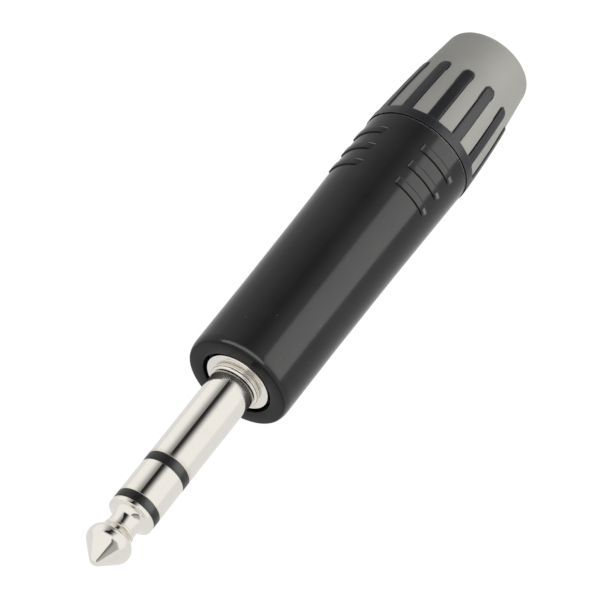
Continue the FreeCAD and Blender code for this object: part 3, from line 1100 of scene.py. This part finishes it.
        # Painted highlights on the ends: the whole of the first, a stripe along the last
        first_highlight, last_highlight = 0.35, 0.65
        stripe, reach = (station, 0.21) if heading < 180.0 else (station - 0.38, 0.08)
        cut_across(rib, 0, [stripe + side * (reach + soft)
                            for side in (-1.0, 1.0) for soft in (-0.01, 0.06)])
        painted_highlight_and_dull = rib.verts.layers.float.new(PAINTED_HIGHLIGHT_AND_DULL)
        for vert in rib.verts:
            raised = vert.co.z > 0.01
            first = vert.co.y < cap + 0.01
            last = vert.co.y > tail - 0.01 and abs(vert.co.x - stripe) < reach
            vert[painted_highlight_and_dull] = float(raised) * (first_highlight * first + last_highlight * last)
            # The narrow strip along its rear flank stays dull
            if vert.co.x < station - half + gutter + 0.02 and vert.co.z < 0.05:
                vert[painted_highlight_and_dull] = -1.0
        bmesh.ops.recalc_face_normals(rib, faces=rib.faces[:])
        bend_round_axis(rib, self.radius_at, heading)
        return rib


@dataclass
class Bushing(Assembly):
    """Back nut: threaded nose, collar, tapered bore and twelve prongs.

    Attributes:
        nose_front: Front of the nose.
        collar_front: Front of the collar.
        collar_rear: Rear of the collar.
        core_rear: Rear of the core under the boot.
        prong_rear: Rear of the prongs.
        collar_radius: Radius of the collar.
        middle_radius: Radius of the rounded outside half way back.
        end_radius: Radius of the rounded outside at the core's rear.
        nose_radius: Radius of the nose below the thread.
        wide_bore: Radius of the tapered bore at its front.
        narrow_bore: Radius of the tapered bore at its rear.
        prong_count: Number of prongs.
        prong_heading: First prong, in degrees from the top towards +Y.
        prong_width: Width of a prong.
        cage_depth: Thickness of the collar and the prongs.
        thread_pitch: Pitch of the nose's thread.
    """

    nose_front: float = -39.25
    collar_front: float = -46.22
    collar_rear: float = -47.75
    core_rear: float = -58.6
    prong_rear: float = -58.1
    collar_radius: float = 8.015
    middle_radius: float = 7.73
    end_radius: float = 7.25
    nose_radius: float = 6.4
    wide_bore: float = 5.6
    narrow_bore: float = 4.3
    prong_count: int = 12
    prong_heading: float = 11.2
    prong_width: float = 1.55
    cage_depth: float = 0.75
    thread_pitch: float = 1.25

    def radius_at(self, station: float) -> float:
        """Radius of the outside at a station.

        Args:
            station: Place on the axis.

        Returns:
            The radius.
        """
        share = (self.collar_rear - station) / (self.collar_rear - self.core_rear)
        if share <= 0.0:
            return self.collar_radius
        bulge = self.middle_radius - (self.collar_radius + self.end_radius) / 2
        straight = self.collar_radius + (self.end_radius - self.collar_radius) * share
        return straight + 4.0 * bulge * share * (1.0 - share)

    def build(self) -> None:
        """Make and dress the nut."""
        parts = [self._core(), self._thread(), self._cage()]
        finish_piece("back_nut", join_meshes(parts), self.palette.bushing_plastic,
                     Body.BUSHING, ["bushing"], 40.0)

    def _core(self) -> Mesh:
        """Nose, the inside of the collar and the tapered core.

        Returns:
            The turned mesh.
        """
        return turned([
            Corner(self.nose_front, self.wide_bore, 0.1, 2),
            Corner(self.nose_front, self.nose_radius, 0.2, 3),
            Corner(-45.9, self.nose_radius, 0.2, 3),
            Corner(self.collar_front, 6.77),
            Corner(self.collar_front, 7.2),
            Corner(-47.0, 7.2),
            Corner(-47.6, 6.95),
            Corner(-48.4, 6.93),
            Corner(self.core_rear, 6.2),
            Corner(self.core_rear, self.narrow_bore),
            Corner(-57.05, self.narrow_bore),
            Corner(-47.0, self.wide_bore),
        ])

    def _thread(self) -> Mesh:
        """Helical ridge on the nose.

        Returns:
            The ridge's mesh.
        """
        turns = 4.6
        per_turn = 72
        steps = round(turns * per_turn)
        ridge = bmesh.new()
        root, crest = self.nose_radius - 0.1, 6.76
        corners = [(-39.75, root), (-39.95, crest), (-40.05, crest), (-40.25, root)]
        ridge.faces.new([ridge.verts.new((station, 0.0, radius)) for station, radius in corners])
        bmesh.ops.spin(
            ridge,
            geom=ridge.verts[:] + ridge.edges[:] + ridge.faces[:],
            cent=ORIGIN,
            axis=AXIS,
            dvec=(-self.thread_pitch / per_turn, 0.0, 0.0),
            angle=-FULL_TURN * steps / per_turn,
            steps=steps,
        )
        bmesh.ops.recalc_face_normals(ridge, faces=ridge.faces[:])
        return ridge

    def _cage(self) -> Mesh:
        """Collar and prongs: one sector, shaped flat, bent round and repeated.

        Returns:
            The mesh of the whole cage.
        """
        sector = self._sector()
        around, along = 16, 14
        half = math.pi * self.collar_radius / self.prong_count
        cut_across(sector, 1, [half * (2.0 * step / around - 1.0) for step in range(1, around)])
        run = self.collar_rear - self.prong_rear
        cut_across(sector, 0, [self.collar_rear - run * step / along for step in range(1, along)])
        bend_round_axis(sector, self.radius_at, self.prong_heading)
        whole = sector.verts[:] + sector.edges[:] + sector.faces[:]
        for number in range(1, self.prong_count):
            copied = bmesh.ops.duplicate(sector, geom=whole)["geom"]
            turn = Matrix.Rotation(FULL_TURN * number / self.prong_count, 3, "X")
            bmesh.ops.rotate(sector, cent=ORIGIN, matrix=turn, verts=vertices(copied))
        bmesh.ops.remove_doubles(sector, verts=sector.verts[:], dist=0.002)
        bmesh.ops.recalc_face_normals(sector, faces=sector.faces[:])
        return sector

    def _sector(self) -> Mesh:
        """One twelfth of the collar with its prong, flat and open where its neighbours join.

        Returns:
            The flat mesh: x along the axis, y round the surface, z above it.
        """
        half = math.pi * self.collar_radius / self.prong_count
        side = self.prong_width / 2
        flat = bmesh.new()
        outline = [
            (self.collar_front, -half), (self.collar_front, half), (self.collar_rear, half),
            (self.collar_rear, side), (self.prong_rear, side), (self.prong_rear, -side),
            (self.collar_rear, -side), (self.collar_rear, -half),
        ]
        verts = [flat.verts.new((station, around, 0.0)) for station, around in outline]
        flat.faces.new(verts)
        for number, setback, facets in (
            (4, side * 0.98, 7), (5, side * 0.98, 7), (3, 0.3, 5), (6, 0.3, 5),
        ):
            bevel(flat, [verts[number]], setback, facets)
        walls = bmesh.ops.extrude_face_region(flat, geom=flat.faces[:])["geom"]
        bmesh.ops.translate(flat, vec=(0.0, 0.0, -self.cage_depth), verts=vertices(walls))
        seams = [
            face for face in flat.faces
            if all(abs(abs(vert.co.y) - half) < MERGE for vert in face.verts)
        ]
        floors = [face for face in flat.faces if all(vert.co.z < -MERGE for vert in face.verts)]
        bmesh.ops.delete(flat, geom=seams + floors, context="FACES_ONLY")
        rims = [
            edge for edge in flat.edges
            if all(abs(end.co.z) < MERGE for end in edge.verts)
            and not all(abs(abs(end.co.y) - half) < MERGE for end in edge.verts)
            and len(edge.link_faces) == 2
        ]
        bevel(flat, rims, 0.13, 3, "EDGES")
        return flat


@dataclass
class Boot(Assembly):
    """Soft grey overmould between and behind the prongs, with the cable hole.

    Attributes:
        nut: The nut it is moulded on.
        recess: How far it lies below the prongs.
        tuck: How far it reaches forward under the collar.
        rear: Its rear face.
        end_radius: Radius just before its end's rounding.
        hole: Radius of the cable hole.
        groove_width: Width of the groove round each prong.
        groove_depth: Depth of that groove.
    """

    nut: Bushing
    recess: float = 0.2
    tuck: float = 0.12
    rear: float = -65.89
    end_radius: float = 6.25
    hole: float = 3.6
    groove_width: float = 0.11
    groove_depth: float = 0.3

    def build(self) -> None:
        """Make and dress the boot."""
        nut = self.nut
        count = 60
        front = nut.collar_rear + self.tuck
        run = front - nut.core_rear
        stations = [front - run * step / count for step in range(count + 1)]
        shape = turned([
            Corner(front, 7.0),
            *(Corner(station, nut.radius_at(station) - self.recess) for station in stations),
            Corner(self.rear, self.end_radius, 1.1, 10),
            Corner(self.rear, self.hole, 0.22, 4),
            Corner(nut.core_rear, self.hole),
            Corner(nut.core_rear, 6.3),
        ], FINE_AROUND)
        self._part_pads(shape)
        finish_piece("strain_relief", shape, self.palette.boot_rubber,
                     Body.BUSHING, ["boot"])

    def _part_pads(self, mesh: Mesh) -> None:
        """Sink a narrow groove round each prong, which parts the pads from the nut.

        Args:
            mesh: The boot's mesh.
        """
        nut = self.nut
        # Only the outside moves, from the collar to a little behind the prongs
        outside, margin = 6.7, 0.5
        side = nut.prong_width / 2
        spacing = 360.0 / nut.prong_count
        round_centre = nut.prong_rear + side
        for vert in mesh.verts:
            station, across, up = vert.co
            reach = math.hypot(across, up)
            if reach < outside or not nut.prong_rear - margin < station < nut.collar_rear:
                continue
            turn = math.degrees(math.atan2(across, up)) - nut.prong_heading
            turn = (turn + spacing / 2) % spacing - spacing / 2
            aside = math.radians(turn) * nut.radius_at(station)
            away = math.hypot(aside, min(0.0, station - round_centre)) - side
            if -0.1 < away < self.groove_width:
                vert.co.yz *= 1.0 - self.groove_depth / reach


@dataclass
class Insides(Assembly):
    """The pieces inside the housing, which keep their CAD shapes."""

    def build(self, nodes: dict[str, bpy.types.Object]) -> None:
        """Dress the CAD nodes that stay.

        Args:
            nodes: The CAD nodes by name.
        """
        palette = self.palette
        dressed = {
            "carrier": palette.carrier_plastic,
            "sleeve_terminal": palette.terminal_metal,
            "ring_terminal": palette.terminal_metal,
            "tip_terminal": palette.terminal_metal,
            "ring_washer": palette.washer_board,
            "tip_washer": palette.washer_board,
            "liner": palette.liner_plastic,
            "chuck": palette.chuck_plastic,
        }
        for name, material in dressed.items():
            node = nodes[name]
            if not node.material_slots:
                node.data.materials.append(material)
            for place in node.material_slots:
                place.material = material
            log.info("%s: %s", name, material.name)


# ---- Studio ----


@dataclass
class Studio:
    """Pale floor, soft light and the camera.

    Attributes:
        floor_height: Height of the floor in metres.
        azimuth: Direction from the plug to the camera, in degrees.
        elevation: Height of the camera above the horizon, in degrees.
        distance: Distance of the camera from the point it looks at, in metres.
        look_at: That point in metres.
        lens: Focal length for a 36 mm sensor.
        fill: Strength of the room's light on plain surfaces.
        floor_glow: Brightness of the floor to the camera.
        glow_loss: How much less bright the floor is in reflections.
        lamp_aim: Point that the lamps face, in metres.
        lamp_distance: Distance of the lamps from that point, in metres.
        soft_power: Power of the soft box in watts.
        gloss_power: Power of the gloss box in watts.
        strip_power: Power of the edge strip in watts.
    """

    floor_height: float = -0.00803
    azimuth: float = 122.06
    elevation: float = 51.94
    distance: float = 0.5
    look_at: Triple = (-0.01746, -0.00024, 0.0001)
    lens: float = 230.5
    fill: float = 0.64
    floor_glow: float = 0.94
    glow_loss: float = 0.2
    lamp_aim: Triple = (-0.02, 0.0, 0.0)
    lamp_distance: float = 0.6
    soft_power: float = 2.5
    gloss_power: float = 10.0
    strip_power: float = 4.8

    def build(self) -> None:
        """Make the floor, the world, the lamps and the camera."""
        self._floor()
        self._world()
        self._lamps()
        self._camera()

    def _floor(self) -> None:
        """Wide plain floor: the camera and glossy rays see it pale, and it keeps the shadow."""
        material = bpy.data.materials.new("pale_floor")
        material.use_nodes = True
        tree = material.node_tree
        tree.nodes.clear()
        nodes = Nodes(tree)
        path = nodes.add("ShaderNodeLightPath")
        seen = nodes.math("MAXIMUM", path.outputs["Is Camera Ray"], path.outputs["Is Glossy Ray"])
        seen = nodes.math("MAXIMUM", seen, path.outputs["Is Transmission Ray"])
        plain = nodes.add("ShaderNodeBsdfDiffuse", {"Color": (0.8, 0.8, 0.8, 1.0)})
        faint = nodes.add("ShaderNodeBsdfDiffuse", {"Color": (0.16, 0.16, 0.16, 1.0)})
        level = nodes.math("MULTIPLY_ADD", path.outputs["Is Glossy Ray"], -self.glow_loss,
                           self.floor_glow)
        glow = nodes.add("ShaderNodeEmission", {"Color": WHITE, "Strength": level})
        pale = nodes.add("ShaderNodeAddShader", {0: faint.outputs[0], 1: glow.outputs[0]})
        choice = nodes.choose(seen, plain, pale)
        nodes.add("ShaderNodeOutputMaterial", {"Surface": choice.outputs[0]})
        mesh = bmesh.new()
        bmesh.ops.create_grid(mesh, x_segments=2, y_segments=2, size=3.0)
        bmesh.ops.translate(mesh, vec=(0.0, 0.0, self.floor_height), verts=mesh.verts[:])
        data = bpy.data.meshes.new("floor")
        mesh.to_mesh(data)
        mesh.free()
        data.materials.append(material)
        floor = add_object("floor", data)
        log.info("floor")

    def _world(self) -> None:
        """Pale room: white to the camera, shaded a little for reflections, softer for fill."""
        world = bpy.data.worlds.new("pale_room")
        world.use_nodes = True
        bpy.context.scene.world = world
        tree = world.node_tree
        tree.nodes.clear()
        nodes = Nodes(tree)
        towards = nodes.add("ShaderNodeTexCoord").outputs["Generated"]
        x, y, _ = nodes.add("ShaderNodeSeparateXYZ", {0: towards}).outputs
        # The far side of the room darkens a little towards the strip overhead
        far = nodes.ramp(y, -0.75, -0.22, 1.0, 0.3)
        # A dark strip overhead, sharp on its far side and soft on its near side
        edge = nodes.ramp(x, -0.5, -0.1, -0.2, -0.46)
        begun = nodes.ramp(nodes.math("SUBTRACT", y, edge), -0.015, 0.015, 0.0, 1.0)
        strip = nodes.math("MULTIPLY", begun, nodes.ramp(y, -0.02, 0.46, 1.0, 0.0))
        for low, high, start, end in (
            (-0.06, 0.16, 0.94, 0.2), (0.16, 0.3, 1.0, 0.0), (-0.85, -0.65, 0.1, 1.0),
        ):
            strip = nodes.math("MULTIPLY", strip, nodes.ramp(x, low, high, start, end))
        # The grey far end of the room beyond the tip, darkest along its near edge
        beyond = nodes.math("MULTIPLY", nodes.ramp(y, 0.26, 0.31, 0.0, 1.0),
                            nodes.ramp(y, 0.66, 0.88, 1.0, 0.0))
        beyond = nodes.math("MULTIPLY", beyond, nodes.ramp(x, 0.24, 0.4, 0.0, 1.0))
        depth = nodes.math("MULTIPLY", nodes.ramp(x, 0.45, 0.6, 0.0, 0.3),
                           nodes.ramp(y, 0.33, 0.55, 1.0, 0.0))
        beyond = nodes.math("MULTIPLY", beyond, nodes.math("ADD", depth, 0.55))
        # Below the strip's near side the room is white again
        near = nodes.math("MAXIMUM", nodes.ramp(y, -0.2, 0.1), nodes.ramp(x, -0.05, 0.15))
        far = nodes.math("MAXIMUM", far, near)
        dark = nodes.math("MAXIMUM", strip, beyond)
        shade = nodes.math("MULTIPLY", far, nodes.math("SUBTRACT", 1.0, dark))
        path = nodes.add("ShaderNodeLightPath").outputs
        reflected = nodes.add("ShaderNodeBackground",
                              {"Color": (1.0, 0.995, 0.98, 1.0), "Strength": shade})
        fill = nodes.add("ShaderNodeBackground",
                         {"Color": (0.8, 0.8, 0.8, 1.0), "Strength": self.fill})
        white = nodes.add("ShaderNodeBackground", {"Color": WHITE, "Strength": 1.0})
        bent = nodes.choose(path["Is Glossy Ray"], fill, reflected)
        straight = nodes.math("MAXIMUM", path["Is Camera Ray"], path["Is Transmission Ray"])
        seen = nodes.choose(straight, bent, white)
        nodes.add("ShaderNodeOutputWorld", {"Surface": seen.outputs[0]})
        log.info("world")

    def _lamps(self) -> None:
        """Soft box on the +Y side behind the plug, and two panels for the housing alone."""
        broad = (-0.5225, 0.7533, 0.3993)
        along = (0.0, 0.468, -0.884)
        size = (0.45, 0.53)
        self._panel("soft_box", broad, along, size, self.soft_power)
        self._panel("gloss_box", broad, along, size, self.gloss_power)
        self._panel("edge_strip", (-0.06, -0.12, 0.98), (0.0, 0.98, 0.12), (0.17, 1.25),
                    self.strip_power)

    def _panel(
        self, name: str, toward: Triple, long_side: Triple, size: tuple[float, float],
        energy: float,
    ) -> None:
        """Rectangular lamp that faces the plug.

        Args:
            name: Name of the lamp.
            toward: Direction from the plug to the lamp.
            long_side: Direction of its long side.
            size: Its width and its length in metres.
            energy: Its power in watts.
        """
        lamp = bpy.data.lights.new(name, "AREA")
        lamp.shape = "RECTANGLE"
        lamp.size, lamp.size_y = size
        lamp.energy = energy
        lamp.color = (1.0, 0.99, 0.97)
        box = add_object(name, lamp)
        facing = Vector(toward).normalized()
        across = Vector(long_side).cross(facing).normalized()
        up = facing.cross(across).normalized()
        place = Vector(self.lamp_aim) + facing * self.lamp_distance
        turn = Matrix((across, up, facing)).transposed().to_4x4()
        box.matrix_world = Matrix.Translation(place) @ turn
        box.visible_camera = False
        log.info("%s", name)

    def share_light(self, plated: Sequence[Material], coated: Sequence[Material]) -> None:
        """Choose what each lamp lights: the plated pieces would burn out under the lamps.

        Args:
            plated: Finishes that no lamp lights.
            coated: Finishes that the gloss box and the edge strip light.
        """
        pieces = [piece for piece in bpy.context.scene.objects if piece.type == "MESH"]
        unplated = [piece for piece in pieces if not wears(piece, plated)]
        housing = [piece for piece in pieces if wears(piece, coated)]
        for name, lit in (
            ("soft_box", unplated), ("gloss_box", housing), ("edge_strip", housing),
        ):
            group = bpy.data.collections.new(f"lit_by_{name}")
            for piece in lit:
                group.objects.link(piece)
            bpy.data.objects[name].light_linking.receiver_collection = group

    def _camera(self) -> None:
        """Long lens from above, beside and in front of the plug."""
        azimuth = math.radians(self.azimuth)
        elevation = math.radians(self.elevation)
        toward = Vector((
            math.sin(azimuth) * math.cos(elevation),
            -math.cos(azimuth) * math.cos(elevation),
            math.sin(elevation),
        ))
        data = bpy.data.cameras.new("camera")
        data.sensor_width = 36.0
        data.lens = self.lens
        data.clip_start = 0.01
        data.clip_end = 20.0
        camera = add_object("camera", data)
        camera.location = Vector(self.look_at) + toward * self.distance
        camera.rotation_euler = toward.to_track_quat("Z", "Y").to_euler()
        bpy.context.scene.camera = camera
        log.info("camera")


def wears(piece: bpy.types.Object, finishes: Sequence[Material]) -> bool:
    """Tell whether a piece has one of the finishes."""
    return any(place.material in finishes for place in piece.material_slots)


def main() -> None:
    """Load the frame and build every sub-assembly in order."""
    logging.basicConfig(level=logging.INFO, format="%(message)s")
    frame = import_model()
    bpy.context.scene.view_settings.view_transform = "Standard"
    studio = Studio()
    studio.build()
    palette = Palette()
    Finger(palette).build()
    FrontCollar(palette).build()
    Shell(palette).build()
    nut = Bushing(palette)
    nut.build()
    Boot(palette, nut).build()
    Insides(palette).build(frame["nodes"])
    studio.share_light(palette.plated, [palette.shell_coating])


if __name__ == "__main__":
    main()
